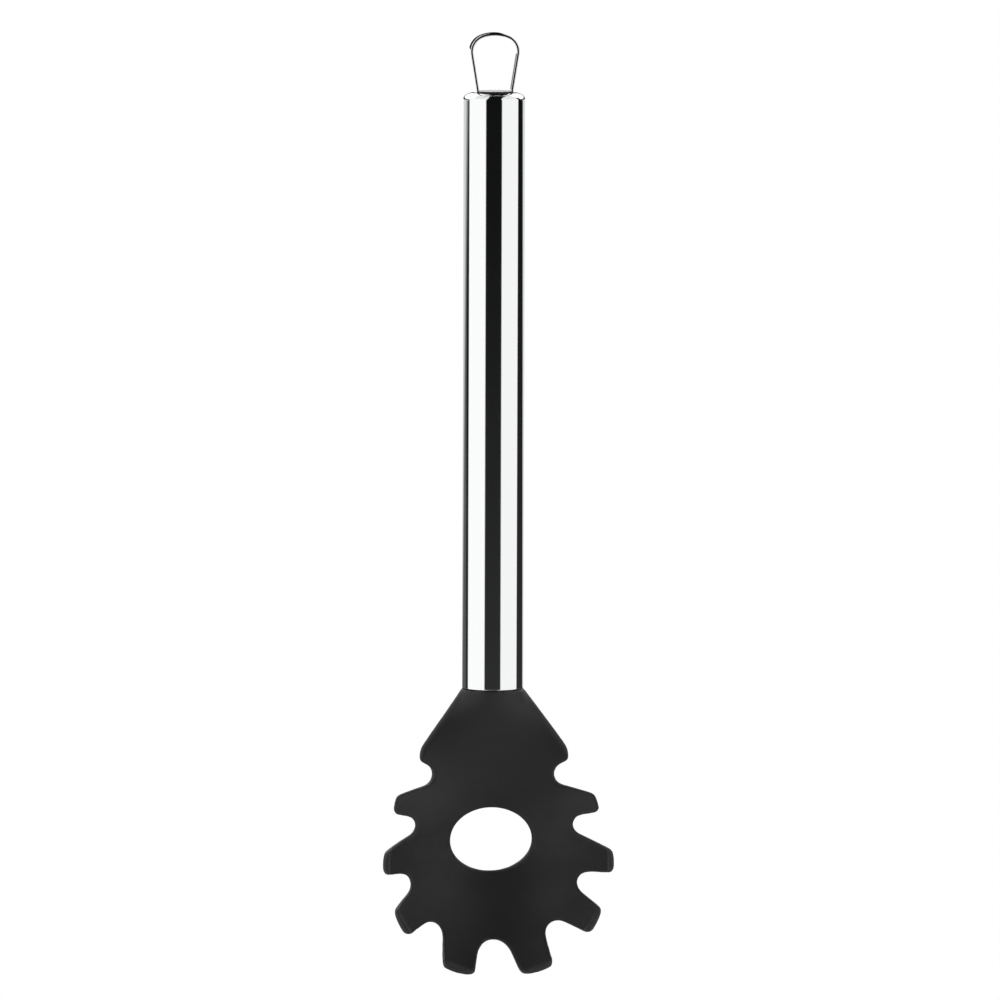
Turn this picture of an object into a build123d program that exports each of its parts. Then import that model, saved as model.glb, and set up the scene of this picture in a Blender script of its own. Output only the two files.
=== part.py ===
from build123d import *
import math
import os

os.makedirs("parts", exist_ok=True)

# A pasta server hung by its loop: a polished steel tube handle, a moulded toothed head below it.
# Millimetres, +Z up along the handle, the hollow of the head facing -Y.
# The origin is the top of the loop's inside, where the hook of a rail bears.

# Handle tube
tube_diameter = 20.0
tube_wall = 0.8
tube_length = 192.4
dome_height = 2.2
opening_diameter = 13.2
tube_end_round = 0.25

# Hanging loop, bent from flat strip
strip_thickness = 0.9
strip_depth = 5.0
strip_edge_round = 0.3
loop_width = 15.9
loop_height = 18.4
loop_crown_radius = 11.5
loop_side_radius = 5.2
leg_bend_radius = 4.0
leg_straight = 0.8
foot_bend_radius = 1.0

# End cap that closes the tube's top and carries the loop
cap_flange_thickness = 1.4
cap_clearance = 0.1
cap_rise = 0.5
cap_edge_round = 0.2
slot_clearance = 0.1
foot_clearance = 0.05

# Head: tenon inside the tube
tenon_length = 38.0
tenon_rib_height = 0.9
tenon_rib_width = 1.4
tenon_rib_count = 6
tenon_rib_clearance = 0.1
tenon_tip_chamfer = 1.2
collar_overhang = 0.05

# Head: bowl, a piece of a hollow ball
bowl_inner_radius = 38.0
bowl_wall = 3.0
bowl_drop_share = 1.476
bowl_forward_share = 0.887
rim_radius_share = 0.9195
rim_lip_share = 0.016
rim_tilt = 3.5
bowl_side_angle = 76.0
bowl_end_angle = -73.0
bowl_station_count = 7

# Head: neck between collar and bowl
flare_slope = 0.735
side_edge_angle = 10.0
neck_edge_thickness = 3.4
neck_taper_power = 1.6
neck_station_count = 9
neck_flatten_power = 4.5
neck_cup_power = 2.8
flare_blend_power = 16
side_bulge_share = 0.42

# Head: shoulders and the gaps between the teeth
shoulder_side = 3.9
shoulder_round = 7.8
flare_margin = 0.1
shoulder_tip_round = 1.2
hole_rise = 6.45
hole_half_width = 13.3
hole_half_height = 10.45
upper_corner_round = 1.8
lower_corner_round = 2.0
overrun = 30.0
tolerance = 0.01

# Gaps of one side, from the shoulder down: place on the outline as an angle about its middle,
# distance of the root circle's centre and its radius as shares of the rim radius, then the
# directions of the gap's two flanks.
gap_place_angles = [49.5, 21.2, -14.3, -49.2]
gap_centre_shares = [0.957, 0.82, 0.841, 0.853]
gap_radius_shares = [0.099, 0.086, 0.099, 0.114]
gap_upper_flanks = [27.0, 14.0, 7.0, -22.0]
gap_lower_flanks = [-13.5, -23.5, -38.5, -81.0]
bottom_gap_centre_share = 0.853
bottom_gap_radius_share = 0.154
bottom_gap_spread = 39.0

# Ends of the teeth of one side, from the top down: the end's middle as an angle and a share of the
# rim radius, and the direction that the end faces. Each end is an arc of the same radius.
end_place_angles = [30.0, 0.9, -30.7, -70.8]
end_reach_shares = [1.01, 0.994, 1.0, 1.007]
end_facing_angles = [15.0, 3.0, -24.0, -79.0]
end_radius_share = 0.55

# Worked out from the sizes above
tube_radius = tube_diameter / 2
bore_radius = tube_radius - tube_wall
opening_radius = opening_diameter / 2
leg_outer_x = math.sqrt((opening_radius - cap_clearance)**2 - (strip_depth / 2)**2)
foot_end_x = math.sqrt((bore_radius - cap_clearance)**2 - (strip_depth / 2)**2)
rim_z = -loop_height
dome_z = rim_z - dome_height
collar_z = rim_z - tube_length
collar_radius = tube_radius + collar_overhang
bowl_outer_radius = bowl_inner_radius + bowl_wall
rim_radius = bowl_outer_radius * rim_radius_share
rim_half_angle = math.degrees(math.asin(rim_radius_share * (1 + rim_lip_share)))
rim_plane_distance = math.sqrt(bowl_outer_radius**2 - rim_radius**2)
bowl_centre_z = collar_z - bowl_inner_radius * bowl_drop_share
bowl_centre = Vector(0, -bowl_inner_radius * bowl_forward_share, bowl_centre_z)
end_radius = rim_radius * end_radius_share
hole_z = bowl_centre.Z + hole_rise
outline_centre_z = bowl_centre.Z + rim_plane_distance * math.sin(math.radians(rim_tilt))
on_base = (Align.CENTER, Align.CENTER, Align.MIN)


def direction(angle):
    """Unit vector in the X-Z plane, at an angle above +X."""
    return Vector(math.cos(math.radians(angle)), 0, math.sin(math.radians(angle)))


def handle_tube():
    """Thin tube, spun inwards at the top into a dome with a round opening."""
    with BuildPart() as tube:
        with BuildSketch(Plane.XZ):
            with BuildLine():
                Line((bore_radius, collar_z), (tube_radius, collar_z))
                Line((tube_radius, collar_z), (tube_radius, dome_z))
                EllipticalCenterArc((opening_radius, dome_z), tube_radius - opening_radius, dome_height,
                                    start_angle=0, arc_size=90)
                Line((opening_radius, rim_z), (opening_radius, rim_z - tube_wall))
                EllipticalCenterArc((opening_radius, dome_z), bore_radius - opening_radius,
                                    dome_height - tube_wall, start_angle=0, arc_size=90)
                Line((bore_radius, dome_z), (bore_radius, collar_z))
            make_face()
        revolve(axis=Axis.Z)
        fillet(tube.edges().filter_by(GeomType.CIRCLE).group_by(Axis.Z)[0], tube_end_round)
        fillet(tube.edges().filter_by(GeomType.CIRCLE).group_by(Axis.Z)[-1], tube_end_round)
    return tube.part


def loop_path():
    """Middle line of the bent strip: foot, leg, side arc, crown and the same again."""
    half = strip_thickness / 2
    crown_centre = Vector(0, 0, half - loop_crown_radius)
    side_x = loop_width / 2 - half - loop_side_radius
    reach = loop_crown_radius - loop_side_radius
    side_centre = crown_centre + Vector(side_x, 0, math.sqrt(reach**2 - side_x**2))
    crown_end = crown_centre + (side_centre - crown_centre).normalized() * loop_crown_radius
    leg_x = leg_outer_x - half
    foot_z = dome_z - cap_flange_thickness - foot_clearance - half
    leg_top = Vector(leg_x, 0, rim_z + leg_straight)
    to_side = side_centre - leg_top
    run = math.sqrt(to_side.length**2 - loop_side_radius**2)
    lean = math.degrees(math.atan2(to_side.Z, to_side.X) - math.asin(loop_side_radius / to_side.length))
    side_end = leg_top + direction(lean) * run
    foot_end = Vector(foot_end_x, 0, foot_z)
    leg = FilletPolyline(foot_end, Vector(leg_x, 0, foot_z), leg_top, side_end,
                         radius=[foot_bend_radius, leg_bend_radius])
    outermost = side_centre + Vector(loop_side_radius, 0, 0)
    side = ThreePointArc(side_end, outermost, crown_end)
    right = [leg, side]
    left = [piece.mirror(Plane.YZ) for piece in right]
    crown = ThreePointArc(crown_end, Vector(0, 0, half), Vector(-crown_end.X, 0, crown_end.Z))
    edges = [edge for piece in right + [crown] + left for edge in piece.edges()]
    return Wire(edges), foot_end


def hanging_loop():
    """Flat strip with rounded edges, bent on its flat into an arch whose feet turn outwards."""
    path, foot_end = loop_path()
    section = Plane(origin=foot_end, x_dir=(0, 1, 0), z_dir=(-1, 0, 0)) * RectangleRounded(
        strip_depth, strip_thickness, strip_edge_round)
    return sweep(section, path=path)


def end_cap():
    """Turned plug: a flange under the tube's dome, a boss that fills its opening, two leg notches."""
    flange_radius = bore_radius - cap_clearance
    boss_radius = opening_radius - cap_clearance
    flange_z = dome_z - cap_flange_thickness
    flange = Pos(0, 0, flange_z) * Cylinder(flange_radius, cap_flange_thickness, align=on_base)
    boss_height = rim_z + cap_rise - flange_z
    boss = Pos(0, 0, flange_z) * Cylinder(boss_radius, boss_height, align=on_base)
    boss = fillet(boss.edges().group_by(Axis.Z)[-1], cap_edge_round)
    notch_x = leg_outer_x - strip_thickness - slot_clearance
    notch = Box(opening_radius - notch_x, strip_depth + 2 * slot_clearance, 2 * boss_height,
                align=(Align.MIN, Align.CENTER, Align.CENTER))
    notch = Pos(notch_x, 0, rim_z) * notch
    return flange + boss - notch - notch.mirror(Plane.YZ)


def closed_section(plane, front, right, back, left):
    """Four arcs, each through three points of a plane, joined into one closed outline."""
    arcs = []
    for start, middle, end in (front, right, back, left):
        points = [plane.from_local_coords(Vector(*point)) for point in (start, middle, end)]
        arcs.append(ThreePointArc(*points))
    return Wire([arc.edge() for arc in arcs])


def mirrored(point):
    """The same point on the other side of the head."""
    return (-point[0], point[1])


def section(plane, front_edge, side_middle, back_edge, depth):
    """Crescent across the head: local X across it, local Y from its front face to its back."""
    front = (mirrored(front_edge), (0, 0), front_edge)
    right = (front_edge, side_middle, back_edge)
    back = (back_edge, (0, depth), mirrored(back_edge))
    left = (mirrored(back_edge), mirrored(side_middle), mirrored(front_edge))
    return closed_section(plane, front, right, back, left)


def collar_section():
    """Full circle where the head meets the tube."""
    plane = Plane(origin=(0, -collar_radius, collar_z), x_dir=(1, 0, 0), z_dir=(0, 0, 1))
    across = collar_radius * math.cos(math.radians(side_edge_angle))
    along = collar_radius * math.sin(math.radians(side_edge_angle))
    return section(plane, (across, collar_radius - along), (collar_radius, collar_radius),
                   (across, collar_radius + along), 2 * collar_radius)


def bowl_section(angle):
    """Slice of the hollow ball through its centre line, at an angle above the level."""
    back = Vector(0, math.cos(math.radians(angle)), math.sin(math.radians(angle)))
    plane = Plane(origin=bowl_centre + back * bowl_inner_radius, x_dir=(1, 0, 0),
                  z_dir=Vector(1, 0, 0).cross(back))
    side = Vector(math.sin(math.radians(bowl_side_angle)), math.cos(math.radians(bowl_side_angle)))
    inner = side * bowl_inner_radius
    outer = side * bowl_outer_radius
    middle = side * (bowl_inner_radius + bowl_wall / 2)
    bulge = Vector(side.Y, -side.X) * (bowl_wall * side_bulge_share)
    return section(plane, (inner.X, inner.Y - bowl_inner_radius),
                   (middle.X + bulge.X, middle.Y + bulge.Y - bowl_inner_radius),
                   (outer.X, outer.Y - bowl_inner_radius), bowl_wall)


def ramp():
    """Straight line on the front of the neck, from the collar to where it touches the ball."""
    start = Vector(0, -collar_radius, collar_z)
    to_centre = bowl_centre - start
    run = math.sqrt(to_centre.length**2 - bowl_inner_radius**2)
    forward = math.degrees(math.atan2(-to_centre.Y, -to_centre.Z))
    lean = math.degrees(math.asin(bowl_inner_radius / to_centre.length)) - forward
    heading = Vector(0, math.sin(math.radians(lean)), -math.cos(math.radians(lean)))
    return start, heading * run, lean


def neck_section(share):
    """Lens across the neck, a share of the way down the ramp, flattening and then cupping."""
    start, run, lean = ramp()
    tilt = lean * share
    back = Vector(0, math.cos(math.radians(tilt)), math.sin(math.radians(tilt)))
    plane = Plane(origin=start + run * share, x_dir=(1, 0, 0), z_dir=Vector(1, 0, 0).cross(back))
    flare = collar_radius - flare_slope * run.Z * share
    widest = bowl_inner_radius * math.sin(math.radians(bowl_side_angle))
    reach = flare * (1 + (flare / widest) ** flare_blend_power) ** (-1 / flare_blend_power)
    collar_rise = collar_radius * (1 - math.sin(math.radians(side_edge_angle)))
    bowl_rise = bowl_inner_radius * (1 - math.cos(math.radians(bowl_side_angle)))
    rise = collar_rise * (1 - share) ** neck_flatten_power - bowl_rise * share**neck_cup_power
    depth = bowl_wall + (2 * collar_radius - bowl_wall) * (1 - share) ** neck_taper_power
    half_width = reach - neck_edge_thickness * side_bulge_share
    return section(plane, (half_width, rise), (reach, rise + neck_edge_thickness / 2),
                   (half_width, rise + neck_edge_thickness), depth)


def head_blank():
    """Neck and bowl as one loft, wider than the finished outline below the shoulders."""
    start, run, lean = ramp()
    stations = [collar_section()]
    for index in range(1, neck_station_count):
        stations.append(neck_section(index / neck_station_count))
    for index in range(bowl_station_count):
        angle = lean + (bowl_end_angle - lean) * index / (bowl_station_count - 1)
        stations.append(bowl_section(angle))
    return loft([Face(station) for station in stations])


def prism(outline):
    """A flat outline in the X-Z plane, run through the head from front to back."""
    return extrude(outline, amount=2 * overrun, both=True)


def gap_outline(centre_x, centre_z, radius, upper_flank, lower_flank):
    """Round root with two straight flanks that leave it as tangents and open outwards."""
    upper = direction(upper_flank)
    lower = direction(lower_flank)
    centre = Vector(centre_x, 0, centre_z)
    upper_start = centre + direction(upper_flank + 90) * radius
    lower_start = centre + direction(lower_flank - 90) * radius
    corners = [upper_start, upper_start + upper * overrun, lower_start + lower * overrun, lower_start]
    wedge = make_face(Polyline(*[(corner.X, corner.Z) for corner in corners], close=True))
    return wedge + Pos(centre_x, centre_z) * Circle(radius)


def gap_outlines():
    """The gaps between the teeth on both sides, and the one at the bottom."""
    bottom_z = outline_centre_z - rim_radius * bottom_gap_centre_share
    gaps = [gap_outline(0, bottom_z, rim_radius * bottom_gap_radius_share,
                        -90 + bottom_gap_spread / 2, -90 - bottom_gap_spread / 2)]
    rows = zip(gap_place_angles, gap_centre_shares, gap_radius_shares, gap_upper_flanks, gap_lower_flanks)
    for place_angle, centre_share, radius_share, upper_flank, lower_flank in rows:
        place = direction(place_angle) * (rim_radius * centre_share)
        gap = gap_outline(place.X, outline_centre_z + place.Z, rim_radius * radius_share,
                          upper_flank, lower_flank)
        gaps.append(gap)
        gaps.append(gap.mirror(Plane.YZ))
    return gaps


def shoulder_knee():
    """Corner between the flare and a shoulder's side, one side's length above the first gap's flank."""
    flank = gap_upper_flanks[0]
    root = direction(gap_place_angles[0]) * (rim_radius * gap_centre_shares[0])
    root += direction(flank + 90) * (rim_radius * gap_radius_shares[0])
    rise = math.tan(math.radians(flank))
    drop = collar_z - outline_centre_z - root.Z + root.X * rise - shoulder_side
    flare_x = collar_radius + flare_margin
    knee_x = (flare_x + flare_slope * drop) / (1 + flare_slope * rise)
    return Vector(knee_x, collar_z - (knee_x - flare_x) / flare_slope)


def neck_outline():
    """Kept part of the neck: its flare with a margin, the shoulders and a wedge to the bowl's middle."""
    root = direction(gap_place_angles[0]) * (rim_radius * gap_centre_shares[0])
    root_z = outline_centre_z + root.Z
    knee = shoulder_knee()
    flare_x = collar_radius + flare_margin
    half = [(flare_x, collar_z + tenon_length), (flare_x, collar_z), (knee.X, knee.Y),
            (knee.X, root_z), (root.X, root_z)]
    left = [mirrored(point) for point in reversed(half)]
    return make_face(Polyline(*half, (0, outline_centre_z), *left, close=True))


def place_of(corner):
    """Where a corner stands on the outline, as an angle about its middle."""
    return math.degrees(math.atan2(corner.Y - outline_centre_z, abs(corner.X)))


def nearest_end(corner):
    """Angle of the middle of the tooth end that is nearest to a corner."""
    return min(end_place_angles, key=lambda end: abs(end - place_of(corner)))


def is_upper(corner):
    """Whether a corner stands above the middle of the tooth end that is nearest to it."""
    return place_of(corner) > nearest_end(corner)


def end_centres():
    """Middles of the arcs that end the teeth of one side, in the outline's plane."""
    centres = []
    for place, share, facing in zip(end_place_angles, end_reach_shares, end_facing_angles):
        centre = direction(place) * (rim_radius * share) - direction(facing) * end_radius
        centres.append(Vector(centre.X, outline_centre_z + centre.Z))
    return centres


def teeth_outline():
    """Disc of the bowl with each tooth grown out between the middles of its two gaps to its own end."""
    face = Pos(0, outline_centre_z) * Circle(rim_radius * min(gap_centre_shares))
    bounds = gap_place_angles + [-90]
    for upper, lower, centre in zip(bounds[:-1], bounds[1:], end_centres()):
        above = direction(upper) * (2 * rim_radius)
        below = direction(lower) * (2 * rim_radius)
        sector = make_face(Polyline((0, 0), (above.X, above.Z), (below.X, below.Z), close=True))
        tooth = Pos(0, outline_centre_z) * sector & Pos(centre.X, centre.Y) * Circle(end_radius)
        face = face + tooth + tooth.mirror(Plane.YZ)
    return face


def is_on_side(corner):
    """Whether a corner lies on a shoulder's outer side."""
    return abs(abs(corner.X) - shoulder_knee().X) < tolerance


def is_on_end(corner):
    """Whether a corner below the first gap lies on the arc that ends its tooth."""
    centre = end_centres()[end_place_angles.index(nearest_end(corner))]
    reach = (Vector(abs(corner.X), corner.Y) - centre).length
    return abs(reach - end_radius) < tolerance and place_of(corner) < gap_place_angles[0]


def head_outline():
    """Outline seen from the front: teeth, neck and shoulders, gaps cut out, corners rounded."""
    face = teeth_outline() + neck_outline()
    for gap in gap_outlines():
        face = face - gap
    face = fillet(face.vertices().filter_by(is_on_side).group_by(Axis.Y)[-1], shoulder_round)
    face = fillet(face.vertices().filter_by(is_on_side).group_by(Axis.Y)[0], shoulder_tip_round)
    face = fillet(face.vertices().filter_by(is_on_end).filter_by(is_upper), upper_corner_round)
    lower = face.vertices().filter_by(is_on_end).filter_by(is_upper, reverse=True)
    return fillet(lower, lower_corner_round)


def rim_cone():
    """Cone with its tip at the ball's centre, which trims the rim square to the bowl's wall."""
    reach = bowl_outer_radius + overrun
    back = Vector(0, math.cos(math.radians(rim_tilt)), math.sin(math.radians(rim_tilt)))
    cone = Cone(0, reach * math.tan(math.radians(rim_half_angle)), reach, align=on_base)
    return Plane(origin=bowl_centre, x_dir=(1, 0, 0), z_dir=back) * cone


def hole_cutter():
    """Elliptical prism for the drain hole."""
    return prism(Plane.XZ * Pos(0, hole_z) * Ellipse(hole_half_width, hole_half_height))


def tenon():
    """Round core with crush ribs, pressed up into the tube."""
    rib_radius = bore_radius - tenon_rib_clearance
    core_radius = rib_radius - tenon_rib_height
    core = Pos(0, 0, collar_z) * Cylinder(core_radius, tenon_length, align=on_base)
    core = chamfer(core.edges().group_by(Axis.Z)[-1], tenon_tip_chamfer)
    rib_length = tenon_length - 2 * tenon_tip_chamfer
    for index in range(tenon_rib_count):
        rib = Pos(0, 0, collar_z) * Box(rib_radius, tenon_rib_width, rib_length,
                                        align=(Align.MIN, Align.CENTER, Align.MIN))
        core += Rot(0, 0, 360 * index / tenon_rib_count) * rib
    return core


def head_cut():
    """Blank trimmed to its outline and its rim, with the drain hole."""
    return head_blank() & rim_cone() & prism(Plane.XZ * head_outline()) - hole_cutter()


nodes = {
    "handle_tube": handle_tube(),
    "hanging_loop": hanging_loop(),
    "end_cap": end_cap(),
    "head": head_cut() + tenon(),
}
for name, solid in nodes.items():
    export_step(solid, f"parts/{name}.step")
    print(name, solid.is_valid, len(solid.solids()), round(solid.volume, 1), solid.bounding_box())
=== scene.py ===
import math
from functools import partial

import bmesh
import bpy
import numpy as np
from mathutils import Matrix, Vector


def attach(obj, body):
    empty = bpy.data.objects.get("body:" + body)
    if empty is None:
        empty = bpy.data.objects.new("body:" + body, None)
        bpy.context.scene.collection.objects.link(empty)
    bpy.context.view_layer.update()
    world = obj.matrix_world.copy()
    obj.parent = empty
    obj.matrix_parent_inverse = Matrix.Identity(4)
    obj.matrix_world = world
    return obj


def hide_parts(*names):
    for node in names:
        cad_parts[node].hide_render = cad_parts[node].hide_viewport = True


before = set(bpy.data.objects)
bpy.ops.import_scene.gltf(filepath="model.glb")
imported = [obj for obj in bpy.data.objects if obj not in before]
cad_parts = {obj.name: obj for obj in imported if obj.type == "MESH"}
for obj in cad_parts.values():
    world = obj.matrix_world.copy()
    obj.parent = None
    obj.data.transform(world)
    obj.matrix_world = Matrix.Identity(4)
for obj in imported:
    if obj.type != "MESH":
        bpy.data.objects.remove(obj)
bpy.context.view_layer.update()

# The handle: a thin stainless tube, its top end spun inwards to a shallow dome round an opening
# for the cap, its lower end cut square and its edges broken. It is polished to a mirror on a
# wheel, which leaves hairline marks along it and a faint haze where it is held.
tube_radius = 0.0100
tube_wall = 0.0008
tube_bore = tube_radius - tube_wall
tube_bottom = -0.2108
tube_shoulder = -0.0206
tube_edge = 0.00025
dome_rise = 0.0022
dome_end = 86  # degrees up the dome's arc, where the lip's rounding takes over
inner_dome_start = 80
lip_radius = 0.0066
lip_start = 100
end_ring, wall_ring = 0.002, 0.02  # rings from here on inside each end keep the shading straight
wall_rings = 8
edge_points, dome_points, inner_dome_points = 7, 40, 10
tube_facets = 256
sharp_angle = 40
hair_noise = (5200.0, 3.0)  # patches to a metre before the stretch, and detail
hair_range = (0.56, 0.78)
haze_noise = (55.0, 4.0)
haze_range = (0.42, 0.75)
hairline_depth = 0.0000002
tube_colour = (0.86, 0.865, 0.87, 1.0)


def arc(centre, radii, start, end, count):
    """Points of an ellipse's arc: centre plus the radii times cosine and sine of even angles."""
    angles = np.radians(np.linspace(start, end, count))
    return np.column_stack([centre[0] + radii[0] * np.cos(angles),
                            centre[1] + radii[1] * np.sin(angles)])


def riding(name, mesh, material):
    """A smooth-shaded mesh in one material, as an object that rides on the only body."""
    mesh.materials.clear()
    mesh.materials.append(material)
    mesh.shade_smooth()
    piece = bpy.data.objects.new(name, mesh)
    bpy.context.scene.collection.objects.link(piece)
    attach(piece, "root")
    return piece


def new_piece(name, points, faces, material):
    """A riding object of an array of points and a list of faces, sharp where faces meet steeply."""
    mesh = bpy.data.meshes.new(name)
    mesh.from_pydata(points.tolist(), [], faces)
    mesh.update()
    piece = riding(name, mesh, material)
    mesh.set_sharp_from_angle(angle=math.radians(sharp_angle))
    return piece


def ring_points(radius, height, count):
    """Rings about the up axis, one for each radius and height.

    Point (i, j) is (radius_i cos a_j, radius_i sin a_j, height_i), with a_j going once round in
    even steps.
    """
    angles = np.linspace(0, 2 * math.pi, count, endpoint=False)
    points = np.stack([np.outer(radius, np.cos(angles)), np.outer(radius, np.sin(angles)),
                       np.repeat(height[:, None], count, axis=1)], axis=2)
    return points.reshape(-1, 3)


def turned(profile, count):
    """A closed profile of (radius, height) turned about the up axis.

    Its points are rings, and each face joins four neighbours of the grid, which is closed both
    ways.
    """
    index = np.arange(len(profile) * count).reshape(-1, count)
    ahead, beside = np.roll(index, -1, axis=0), np.roll(index, -1, axis=1)
    both = np.roll(ahead, -1, axis=1)
    faces = np.stack([index, beside, both, ahead], axis=2).reshape(-1, 4)
    return ring_points(profile[:, 0], profile[:, 1], count), faces.tolist()


def tube_profile():
    """Wall of the tube: up its outside, over the dome, down the opening's lip and down the bore.

    The dome is an ellipse's arc that rises from the shoulder towards the lip, and its underside
    is a like arc one wall further in. The broken edges are arcs of tube_edge.
    """
    low = tube_bottom + tube_edge
    lip_top = tube_shoulder + dome_rise
    dome_centre = (lip_radius, tube_shoulder)
    edge = (tube_edge, tube_edge)
    heights = np.concatenate([
        [low + tube_edge, low + end_ring],
        np.linspace(low + wall_ring, tube_shoulder - wall_ring, wall_rings),
        [tube_shoulder - end_ring, tube_shoulder - tube_edge],
    ])
    return np.concatenate([
        arc((tube_radius - tube_edge, low), edge, -90, 0, edge_points),
        np.column_stack([np.full(len(heights), tube_radius), heights]),
        arc(dome_centre, (tube_radius - lip_radius, dome_rise), 0, dome_end, dome_points),
        arc((lip_radius + tube_edge, lip_top - tube_edge), edge, lip_start, 180, edge_points),
        [(lip_radius, lip_top - tube_wall)],
        arc(dome_centre, (tube_bore - lip_radius, dome_rise - tube_wall),
            inner_dome_start, 0, inner_dome_points),
        [(tube_bore, low + tube_edge)],
        arc((tube_bore + tube_edge, low), edge, 180, 270, edge_points)[:-1],
    ])


def fill(tree, node, values):
    """Fills a node's inputs, by name or number, with plain values or links from other nodes."""
    for key, value in values.items():
        if isinstance(value, bpy.types.NodeSocket):
            tree.links.new(value, node.inputs[key])
        else:
            node.inputs[key].default_value = value


def put_node(tree, kind, values, **settings):
    """A new node, its settings made first and its inputs filled after them."""
    node = tree.nodes.new(kind)
    for key, value in settings.items():
        setattr(node, key, value)
    fill(tree, node, values)
    return node


def calculate(tree, kind, first, *others):
    """Result of a maths node, or of a chain of them that takes in one more value each time."""
    for other in others or (0.0,):
        first = put_node(tree, "ShaderNodeMath", {0: first, 1: other}, operation=kind).outputs[0]
    return first


def noise(tree, place, scale, detail, roughness=0.5):
    """Cloudy noise about 0.5: scale patches to a metre, with detail layers of finer ones."""
    values = {"Vector": place, "Scale": scale, "Detail": detail, "Roughness": roughness}
    return put_node(tree, "ShaderNodeTexNoise", values).outputs["Fac"]


def spread(tree, value, low, high, before=0.0, after=1.0, curve="LINEAR"):
    """The value's way from low to high as one from before to after, held still beyond both."""
    values = {"Value": value, "From Min": low, "From Max": high, "To Min": before, "To Max": after}
    return put_node(tree, "ShaderNodeMapRange", values, interpolation_type=curve).outputs["Result"]


def relief(tree, height, depth, strength=0.5):
    """Normal of a surface raised by a height from 0 to 1 times a depth in metres."""
    values = {"Height": height, "Distance": depth, "Strength": strength}
    return put_node(tree, "ShaderNodeBump", values).outputs["Normal"]


def object_place(tree):
    """The place in the object, in metres."""
    return put_node(tree, "ShaderNodeTexCoord", {}).outputs["Object"]


def polish_marks():
    """Marks of the polishing wheel and of hands on a mirror finish, as a node group.

    Hair: noise stretched along the up axis, kept where it is highest. Haze: broad, soft noise.
    Roughness is the base value plus both in their amounts, and Height is the hairlines' own.
    """
    group = bpy.data.node_groups.new("polish_marks", "ShaderNodeTree")
    for label in ("Base roughness", "Hair amount", "Haze amount", "Stretch"):
        group.interface.new_socket(label, in_out="INPUT", socket_type="NodeSocketFloat")
    for label in ("Roughness", "Height"):
        group.interface.new_socket(label, in_out="OUTPUT", socket_type="NodeSocketFloat")
    given = group.nodes.new("NodeGroupInput").outputs
    place = object_place(group)
    scale = put_node(group, "ShaderNodeCombineXYZ", {"X": 1.0, "Y": 1.0, "Z": given["Stretch"]})
    stretched = put_node(group, "ShaderNodeVectorMath", {0: place, 1: scale.outputs[0]},
                         operation="MULTIPLY").outputs[0]
    hair = spread(group, noise(group, stretched, *hair_noise), *hair_range)
    haze = spread(group, noise(group, place, *haze_noise), *haze_range)
    rough = calculate(group, "ADD", calculate(group, "MULTIPLY", hair, given["Hair amount"]),
                      calculate(group, "MULTIPLY", haze, given["Haze amount"]),
                      given["Base roughness"])
    put_node(group, "NodeGroupOutput", {"Roughness": rough, "Height": hair})
    return group


marks_group = polish_marks()


def new_material(name):
    """A new material, its node tree and its Principled shader."""
    material = bpy.data.materials.new(name)
    material.use_nodes = True
    return material, material.node_tree, material.node_tree.nodes["Principled BSDF"]


def steel_material(name, colour, roughness, hair, haze, stretch):
    """Stainless steel: a metal of one colour, its roughness and relief from the polish marks."""
    material, tree, shader = new_material(name)
    marks = put_node(tree, "ShaderNodeGroup",
                     {"Base roughness": roughness, "Hair amount": hair, "Haze amount": haze,
                      "Stretch": stretch}, node_tree=marks_group).outputs
    fill(tree, shader, {"Base Color": colour, "Metallic": 1.0, "Roughness": marks["Roughness"],
                        "Normal": relief(tree, marks["Height"], hairline_depth)})
    return material


tube_steel = steel_material("mirror_polished_tube", tube_colour, roughness=0.045, hair=0.03,
                            haze=0.03, stretch=0.02)
handle = new_piece("polished_handle", *turned(tube_profile(), tube_facets), tube_steel)
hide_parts("handle_tube")

# The cap that closes the tube's top: a turned plug whose boss fills the opening and stands a
# little proud, held by its flange under the dome. Fine turning marks run round its face, and a
# black ring is painted round the boss as the shade of the joint's gap.
face_radius = 0.00625
# painted shade: a black ring from face_radius out to here stands for the shade in the joint's gap
joint_shade_radius = 0.00637
joint_shade_wander = 0.00012
ring_noise = (9000.0, 2.0)
ring_range = (0.3, 0.7)
ring_roughness = (0.72, 0.84)
ring_depth = 0.000004
blotch_noise = (900.0, 3.0)
turned_colour = (0.92, 0.925, 0.93, 1.0)
joint_shade_colour = (0.012, 0.012, 0.013, 1.0)
joint_shade_metal = 0.1
joint_shade_roughness = 0.55


def mixed(tree, kind, share, first, second):
    """Mix of two colours, kind RGBA, or of two numbers, kind FLOAT, by the second one's share."""
    inputs, result = {"RGBA": ((6, 7), 2), "FLOAT": ((2, 3), 0)}[kind]
    values = {0: share, inputs[0]: first, inputs[1]: second}
    return put_node(tree, "ShaderNodeMix", values, data_type=kind).outputs[result]


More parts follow.
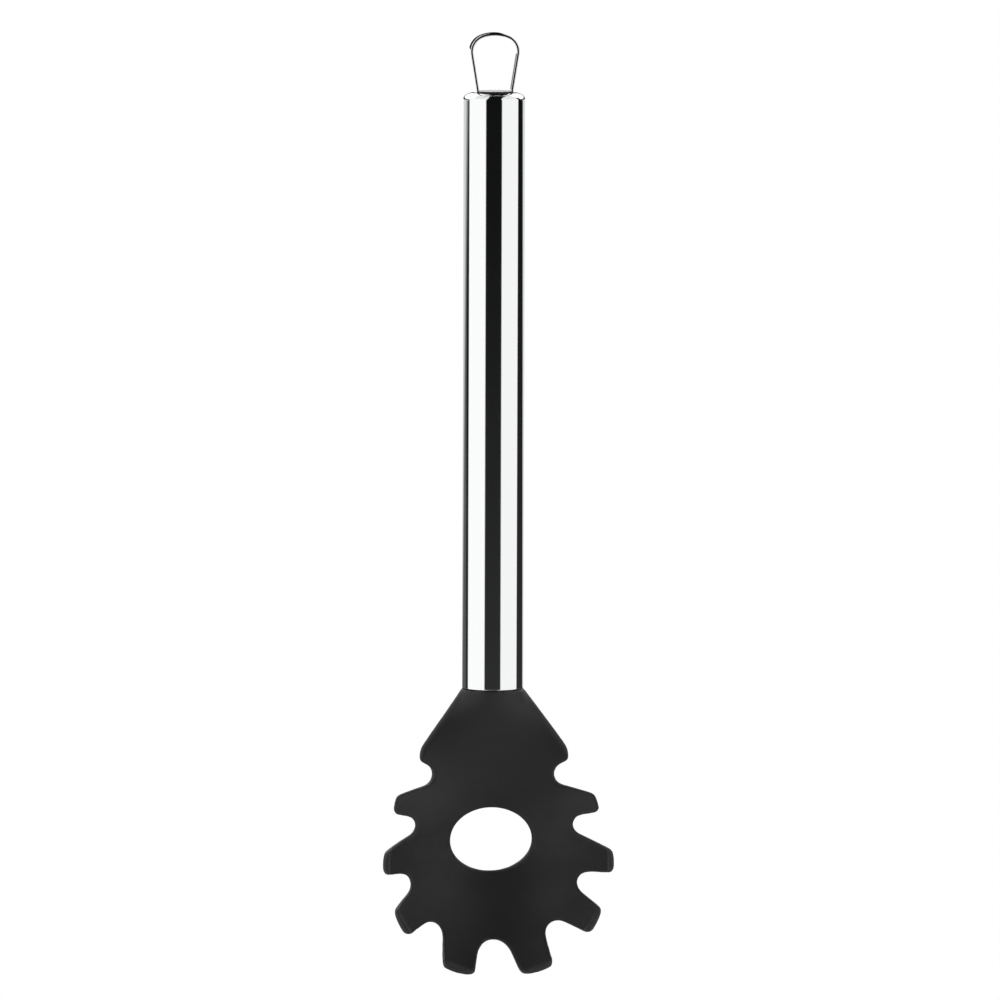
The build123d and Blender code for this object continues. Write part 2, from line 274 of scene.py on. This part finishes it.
def cap_material():
    """Turned steel: rings of the cutting tool as relief, and painted joint shade far from the axis.

    Distance is the length of (x, y). Rings are noise along that distance alone. The painted shade
    of the joint's gap grows from none at face_radius to full at its outer radius, by the distance
    plus a little broad noise, and makes the metal black and hardly metallic.
    """
    material, tree, shader = new_material("turned_cap")
    place = object_place(tree)
    flat = put_node(tree, "ShaderNodeVectorMath", {0: place, 1: (1.0, 1.0, 0.0)},
                    operation="MULTIPLY").outputs[0]
    distance = put_node(tree, "ShaderNodeVectorMath", {0: flat},
                        operation="LENGTH").outputs["Value"]
    ring_scale, ring_detail = ring_noise
    rings = put_node(tree, "ShaderNodeTexNoise",
                     {"W": distance, "Scale": ring_scale, "Detail": ring_detail},
                     noise_dimensions="1D").outputs["Fac"]
    blotch = noise(tree, place, *blotch_noise)
    wander = put_node(tree, "ShaderNodeMath", {0: blotch, 1: joint_shade_wander, 2: distance},
                      operation="MULTIPLY_ADD").outputs[0]
    # painted shade of the joint's gap: a black, hardly metallic ring round the boss
    joint_shade = spread(tree, wander, face_radius, joint_shade_radius)
    dull = spread(tree, rings, *ring_range, *ring_roughness)
    fill(tree, shader, {
        "Base Color": mixed(tree, "RGBA", joint_shade, turned_colour, joint_shade_colour),
        "Metallic": spread(tree, joint_shade, 0.0, 1.0, 1.0, joint_shade_metal),
        "Roughness": mixed(tree, "FLOAT", joint_shade, dull, joint_shade_roughness),
        "Normal": relief(tree, rings, ring_depth),
    })
    return material


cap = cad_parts["end_cap"]
cap.data.materials.clear()
cap.data.materials.append(cap_material())

# The hanging loop: flat stainless strip with rolled edges, bent on its flat round a former into
# an arch and then polished. Its legs stand in the cap's notches and their feet are turned
# outwards under the cap, which holds it.
strip_thickness = 0.0009
strip_depth = 0.005
strip_corner = 0.00025
crown_radius = 0.0115
side_radius = 0.0052
leg_radius = 0.004
foot_radius = 0.001
loop_half_width = 0.00795
leg_x = 0.00555
leg_top_z = -0.0176
foot_x = 0.00875
foot_z = -0.0225
foot_points, leg_points, side_points, crown_points, corner_points = 12, 8, 28, 36, 13
strip_colour = (0.84, 0.845, 0.85, 1.0)


def heading(vector):
    """Direction of a vector in degrees."""
    return math.degrees(math.atan2(vector[1], vector[0]))


def bend(corner, before, after, radius, count):
    """Arc of one radius that rounds a corner of a path.

    Its centre lies on the corner's bisector, radius / sin(half the corner's angle) away, and it
    touches both runs at radius / tan(half the corner's angle) from the corner.
    """
    back = (before - corner) / np.linalg.norm(before - corner)
    ahead = (after - corner) / np.linalg.norm(after - corner)
    half_angle = math.acos(float(back @ ahead)) / 2
    middle = (back + ahead) / np.linalg.norm(back + ahead)
    centre = corner + middle * radius / math.sin(half_angle)
    first = corner + back * radius / math.tan(half_angle) - centre
    last = corner + ahead * radius / math.tan(half_angle) - centre
    turn = heading((float(first @ last), first[0] * last[1] - first[1] * last[0]))
    return arc(centre, (radius, radius), heading(first), heading(first) + turn, count)


def loop_line():
    """Middle line of the strip, from the right foot over the crown to the left one.

    The right half is a foot, its bend, the leg, a slight bend into the slanting leg that touches
    the side arc, the side arc, and half the crown; the left half is its mirror image.
    """
    half = strip_thickness / 2
    crown_centre = np.array([0.0, half - crown_radius])
    side_x = loop_half_width - half - side_radius
    side_rise = math.sqrt((crown_radius - side_radius) ** 2 - side_x ** 2)
    side_centre = crown_centre + [side_x, side_rise]
    leg_top = np.array([leg_x, leg_top_z])
    to_side = side_centre - leg_top
    distance = float(np.linalg.norm(to_side))
    lean = math.atan2(to_side[1], to_side[0]) - math.asin(side_radius / distance)
    run = math.sqrt(distance ** 2 - side_radius ** 2)
    touch = leg_top + np.array([math.cos(lean), math.sin(lean)]) * run
    knee = np.array([leg_x, foot_z])
    foot = np.array([foot_x, foot_z])
    side_start = heading(touch - side_centre)
    side_end = heading(side_centre - crown_centre)
    right = np.concatenate([
        [foot],
        bend(knee, foot, leg_top, foot_radius, foot_points),
        bend(leg_top, knee, touch, leg_radius, leg_points),
        arc(side_centre, (side_radius, side_radius), side_start, side_end, side_points),
        arc(crown_centre, (crown_radius, crown_radius), side_end, 90, crown_points)[1:],
    ])
    return np.concatenate([right, (right * [-1, 1])[-2::-1]])


def strip_section():
    """Rounded rectangle across the strip: a quarter arc at each corner, joined by straight runs."""
    deep, thick = strip_depth / 2 - strip_corner, strip_thickness / 2 - strip_corner
    corners = [((deep, thick), 0), ((-deep, thick), 90), ((-deep, -thick), 180),
               ((deep, -thick), 270)]
    return np.concatenate([arc(centre, (strip_corner, strip_corner), turn, turn + 90, corner_points)
                           for centre, turn in corners])


def joined_rings(rings, count):
    """Quads between neighbours of a grid whose rings are closed and whose two ends are open."""
    index = np.arange(rings * count).reshape(rings, count)
    beside = np.roll(index, -1, axis=1)
    quads = np.stack([index[:-1], index[1:], beside[1:], beside[:-1]], axis=2)
    return quads.reshape(-1, 4).tolist()


def swept(path, section):
    """A closed section carried along a line in the X-Z plane.

    Point (i, j) is path_i + depth_j Y + height_j n_i, with n_i the path's normal in its plane.
    The faces join neighbours on the grid, and a face of many sides closes each end.
    """
    ahead = np.gradient(path, axis=0)
    ahead = ahead / np.linalg.norm(ahead, axis=1, keepdims=True)
    normal = np.column_stack([ahead[:, 1], -ahead[:, 0]])
    x = path[:, :1] + normal[:, :1] * section[:, 1]
    z = path[:, 1:] + normal[:, 1:] * section[:, 1]
    y = np.broadcast_to(section[:, 0], x.shape)
    points = np.stack([x, y, z], axis=2).reshape(-1, 3)
    first_end = list(range(len(section)))
    last_end = list(range(len(points) - len(section), len(points)))[::-1]
    return points, joined_rings(*x.shape) + [first_end, last_end]


loop_steel = steel_material("polished_strip", strip_colour, roughness=0.05, hair=0.04,
                            haze=0.03, stretch=0.3)
loop = new_piece("polished_loop", *swept(loop_line(), strip_section()), loop_steel)
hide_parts("hanging_loop")

# The head: one moulding of black glass-filled nylon with a fine satin skin from the mould, its
# rim broken by the mould's small radii. Its ribbed tenon is pressed up into the tube. The edges
# that meet the pan wear first: there the skin is a little lighter and smoother, and that lighter
# grey is also a painted highlight on the edges.
skin_pitch = 0.00045
merge_distance = 0.000001
edge_rounds = 16
ball_centre = (0.0, -0.033706, -0.266888)
ball_radii = (0.038, 0.041)
ball_reach = 0.00006
wear_and_sheen_reach = 0.00045
patch_noise = (420.0, 3.0)
patch_range = (0.3, 0.7)
patch_share = (0.5, 1.0)
cloud_noise = (60.0, 5.0)
cloud_range = (0.35, 0.7)
grain_noise = (4200.0, 2.0, 0.6)
grain_depth, grain_strength = 0.00002, 0.6
dull_black = (0.0140, 0.0140, 0.0148, 1.0)
bright_black = (0.0175, 0.0175, 0.0184, 1.0)
# painted highlight and wear: the paler grey that the rounded convex edges are mixed towards
wear_and_sheen_grey = (0.034, 0.034, 0.035, 1.0)
skin_roughness = (0.60, 0.52)
worn_roughness = 0.40
nylon_specular = 0.35


def even_skin(node):
    """The node's shape as an even skin of small quads, from a copy with its loose faces merged."""
    mesh = node.data.copy()
    shape = bmesh.new()
    shape.from_mesh(mesh)
    bmesh.ops.remove_doubles(shape, verts=shape.verts, dist=merge_distance)
    shape.to_mesh(mesh)
    shape.free()
    holder = bpy.data.objects.new("skin_holder", mesh)
    bpy.context.scene.collection.objects.link(holder)
    remesh = holder.modifiers.new("even_skin", "REMESH")
    remesh.mode = "VOXEL"
    remesh.voxel_size = skin_pitch
    evaluated = holder.evaluated_get(bpy.context.evaluated_depsgraph_get())
    skin = bpy.data.meshes.new_from_object(evaluated)
    bpy.data.objects.remove(holder)
    return skin


def mesh_array(collection, field, width, kind):
    """One field of a mesh's points or edges as rows of an array."""
    values = np.empty(len(collection) * width, kind)
    collection.foreach_get(field, values)
    return values.reshape(-1, width)


def relaxed(points, edges):
    """Points moved again and again half way to their neighbours' mean, which rounds every edge."""
    first, second = np.concatenate([edges, edges[:, ::-1]]).T
    count = np.bincount(first, minlength=len(points))[:, None]
    for _ in range(edge_rounds):
        total = np.column_stack([np.bincount(first, points[second, axis], len(points))
                                 for axis in range(3)])
        points = (points + total / count) / 2
    return points


def on_the_ball(points):
    """Points near the bowl's inner or outer ball moved onto it, along their line from its centre.

    The share of the move is whole up to ball_reach off the ball and falls to nothing at twice
    that distance.
    """
    away = points - ball_centre
    distance = np.linalg.norm(away, axis=1)
    for radius in ball_radii:
        share = np.clip(2 - np.abs(distance - radius) / ball_reach, 0, 1)
        points = points + away * (share * (radius / distance - 1))[:, None]
    return points


def head_skin(node):
    """The head with rounded edges, and how far each point was pulled in, as its edge wear and
    painted edge highlight.
    """
    skin = even_skin(node)
    before = mesh_array(skin.vertices, "co", 3, np.float32).astype(float)
    edges = mesh_array(skin.edges, "vertices", 2, np.int32)
    normals = mesh_array(skin.vertices, "normal", 3, np.float32)
    after = on_the_ball(relaxed(before, edges))
    pulled_in = np.sum((before - after) * normals, axis=1) / wear_and_sheen_reach
    # edge wear and painted highlight: how far each point was pulled in marks the edges painted
    # paler
    wear_and_sheen_layer = skin.attributes.new("edge_wear_and_sheen", "FLOAT", "POINT")
    wear_and_sheen_layer.data.foreach_set("value", np.clip(pulled_in, -1, 1).astype(np.float32))
    skin.vertices.foreach_set("co", after.astype(np.float32).ravel())
    skin.update()
    return skin


def nylon_material():
    """Black nylon: fine grain of the mould's skin, cloudy variation, and paler, smoother edges that
    are partly wear and partly a painted highlight.

    Grain is fine noise as relief. Cloud is broad noise. Colour mixes from dull to bright black by
    the cloud, and then to the paler grey by the edge wear and painted edge highlight, which patches
    make uneven; roughness does the same.
    """
    material, tree, shader = new_material("black_nylon")
    place = object_place(tree)
    wear_and_sheen = put_node(tree, "ShaderNodeAttribute", {}, attribute_name="edge_wear_and_sheen").outputs["Fac"]
    patches = spread(tree, noise(tree, place, *patch_noise), *patch_range, *patch_share)
    edge = put_node(tree, "ShaderNodeMath", {0: wear_and_sheen, 1: patches}, operation="MULTIPLY",
                    use_clamp=True).outputs[0]
    cloud = spread(tree, noise(tree, place, *cloud_noise), *cloud_range)
    skin_colour = mixed(tree, "RGBA", cloud, dull_black, bright_black)
    skin_rough = spread(tree, cloud, 0.0, 1.0, *skin_roughness)
    grain = noise(tree, place, *grain_noise)
    fill(tree, shader, {
        # painted highlight on the convex edges, together with their wear: mixed towards the paler
        # grey
        "Base Color": mixed(tree, "RGBA", edge, skin_colour, wear_and_sheen_grey),
        "Roughness": mixed(tree, "FLOAT", edge, skin_rough, worn_roughness),
        "Specular IOR Level": nylon_specular,
        "Normal": relief(tree, grain, grain_depth, grain_strength),
    })
    return material


head = riding("moulded_head", head_skin(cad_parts["head"]), nylon_material())
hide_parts("head")

# The studio: a matt pale floor below the hanging tool, and a surround of soft lights and dark
# gaps, which the polished steel shows as its stripes. Where the camera looks past the tool and
# the floor it sees plain white.
floor_height = -0.50
floor_radii = (0.001, 0.9)
floor_rings, floor_facets = 24, 96
floor_colour = (0.92, 0.92, 0.92, 1.0)
floor_roughness, floor_specular = 0.9, 0.1
floor_glow_colour, floor_glow = (1.0, 1.0, 1.0, 1.0), 0.62
white_level = 1.0

# Edges of the surround's lights. Azimuths are degrees about the up axis, 0 in front and rising
# to the right; heights are degrees above the level; the slot, the tent's slant and the gap are
# in parts of the direction's length. A light of four edges comes in over the first two and goes
# out over the last two. The side glows' edges stand as given at glow_height, and move forwards
# by glow_spread degrees for each degree above it, on the right by a share of that.
left_box, left_box_level = (-113, -109, -39, -35), 1.12
right_box, right_box_level = (21, 25, 93, 96), 1.05
tent_heights, tent_level = (30, 40), 0.9
slot_left, slot_right = (-0.20, -0.14), (0.30, 0.36)
slot_slant, slot_bow = 0.36, 0.12
rim_heights = (-20, -13, -1.2, -0.2)
glow_height, glow_spread = -3.3, 12.0
left_rim, left_rim_level = (-128, -124), 0.10
left_glow, left_glow_level = (-144, -114), 0.75
right_glow, right_glow_level, right_glow_share = (124, 134), 0.8, 0.5
back_glow, back_glow_level = (156, 168), 1.1
band_azimuths, band_heights, band_level = (108, 114), (9, 12, 48, 62), 1.3
gap_x, gap_half_width, gap_growth, gap_edge = 0.12, 0.02, 0.21, (0, 0.03)
below_heights, below_level = (-30, -14), 0.22
below_gap_edge, below_gap_share = (0, 0.06), 0.1
dark_heights, dark_levels = (-8, -3), (0.045, 0.006)


def studio_floor():
    """Round, flat, matt floor that glows a little: even rings about the tool's axis in quads."""
    radius = np.linspace(*floor_radii, floor_rings)
    points = ring_points(radius, np.full(floor_rings, floor_height), floor_facets)
    material, tree, shader = new_material("pale_floor")
    fill(tree, shader, {"Base Color": floor_colour, "Roughness": floor_roughness,
                        "Specular IOR Level": floor_specular,
                        "Emission Color": floor_glow_colour, "Emission Strength": floor_glow})
    mesh = bpy.data.meshes.new("floor")
    mesh.from_pydata(points.tolist(), [], joined_rings(floor_rings, floor_facets))
    mesh.materials.append(material)
    floor = bpy.data.objects.new("floor", mesh)
    bpy.context.scene.collection.objects.link(floor)
    floor.visible_glossy = False


studio_floor()


def studio_surround():
    """Light from all round, as a grey level by direction: the brightest light found there.

    Two broad soft boxes stand left and right. Over them hangs a tent with a slanted, bowed slot.
    Behind stands a band of light, open along a gap that widens with the square of the height
    above the level. Low down, glows left, right and at the very back light the rims of round
    parts, and those at the sides reach further forwards as they rise. From below comes the
    floor's pale light, weaker in the gap. The rest is nearly black. Every edge is a smooth step.
    """
    world = bpy.data.worlds.new("studio")
    bpy.context.scene.world = world
    world.use_nodes = True
    tree = world.node_tree
    tree.nodes.clear()
    product, total, less, brightest, size = (
        partial(calculate, tree, kind)
        for kind in ("MULTIPLY", "ADD", "SUBTRACT", "MAXIMUM", "ABSOLUTE"))

    def step(value, edges, before, after):
        """A smooth step from one level to another between two edges."""
        return spread(tree, value, *edges, before, after, "SMOOTHSTEP")

    def window(value, edges, level=1.0):
        """A level that comes in over the first two edges and goes out over the last two."""
        return product(step(value, edges[2:], level, 0.0), step(value, edges[:2], 0.0, 1.0))

    place = put_node(tree, "ShaderNodeTexCoord", {}).outputs["Generated"]
    parts = put_node(tree, "ShaderNodeSeparateXYZ", {0: place}).outputs
    x, y, z = parts["X"], parts["Y"], parts["Z"]
    azimuth = product(calculate(tree, "ARCTAN2", x, product(y, -1.0)), math.degrees(1))
    height = product(calculate(tree, "ARCSINE", z), math.degrees(1))
    from_front = size(azimuth)

    boxes = total(window(azimuth, left_box, left_box_level),
                  window(azimuth, right_box, right_box_level))
    boxes = product(boxes, step(height, tent_heights, 1.0, 0.0))

    slot_place = total(less(x, product(y, slot_slant)), product(y, product(y, slot_bow)))
    tent = total(step(slot_place, slot_left, tent_level, 0.0),
                 step(x, slot_right, 0.0, tent_level))
    tent = product(tent, step(height, tent_heights, 0.0, 1.0))

    shift = product(less(height, glow_height), glow_spread)
    left = brightest(step(azimuth, left_rim, left_rim_level, 0.0),
                     step(less(azimuth, shift), left_glow, left_glow_level, 0.0))
    right = step(total(azimuth, product(shift, right_glow_share)), right_glow,
                 0.0, right_glow_level)
    back = step(from_front, back_glow, 0.0, back_glow_level)
    rims = product(brightest(left, right, back), window(height, rim_heights))

    gap_width = total(product(z, z, gap_growth), gap_half_width)
    past_gap = less(size(less(x, gap_x)), gap_width)
    band = product(step(from_front, band_azimuths, 0.0, 1.0), step(past_gap, gap_edge, 0.0, 1.0),
                   window(height, band_heights, band_level))

    below = product(step(height, below_heights, below_level, 0.0),
                    step(past_gap, below_gap_edge, below_gap_share, 1.0))
    dark = step(height, dark_heights, *dark_levels)
    level = brightest(total(boxes, tent), rims, band, dark, below)

    seen = put_node(tree, "ShaderNodeLightPath", {}).outputs["Is Camera Ray"]
    shown = mixed(tree, "FLOAT", seen, level, white_level)
    glow = put_node(tree, "ShaderNodeBackground", {"Color": shown}).outputs[0]
    put_node(tree, "ShaderNodeOutputWorld", {"Surface": glow})


studio_surround()

# The camera: a long lens far off in front of the tool, a little to its left and a little above,
# aimed at its middle and turned by the small lean that the picture has.
camera_azimuth = math.radians(-7.0)
camera_elevation = math.radians(5.0)
camera_distance = 4.0
camera_reach = 100.0
picture_width = 0.3226
sensor_width = 36.0
picture_lean = math.radians(0.18)
picture_middle = Vector((0.0023, 0.0, -0.15))

to_camera = Vector((math.sin(camera_azimuth) * math.cos(camera_elevation),
                    -math.cos(camera_azimuth) * math.cos(camera_elevation),
                    math.sin(camera_elevation)))
camera_data = bpy.data.cameras.new("camera")
camera_data.sensor_width = sensor_width
camera_data.lens = sensor_width * camera_distance / picture_width
camera_data.clip_end = camera_reach
camera = bpy.data.objects.new("camera", camera_data)
bpy.context.scene.collection.objects.link(camera)
turn = to_camera.to_track_quat("Z", "Y").to_matrix() @ Matrix.Rotation(picture_lean, 3, "Z")
camera_place = Matrix.Translation(picture_middle + to_camera * camera_distance)
camera.matrix_world = camera_place @ turn.to_4x4()
bpy.context.scene.camera = camera
bpy.context.scene.view_settings.view_transform = "Standard"
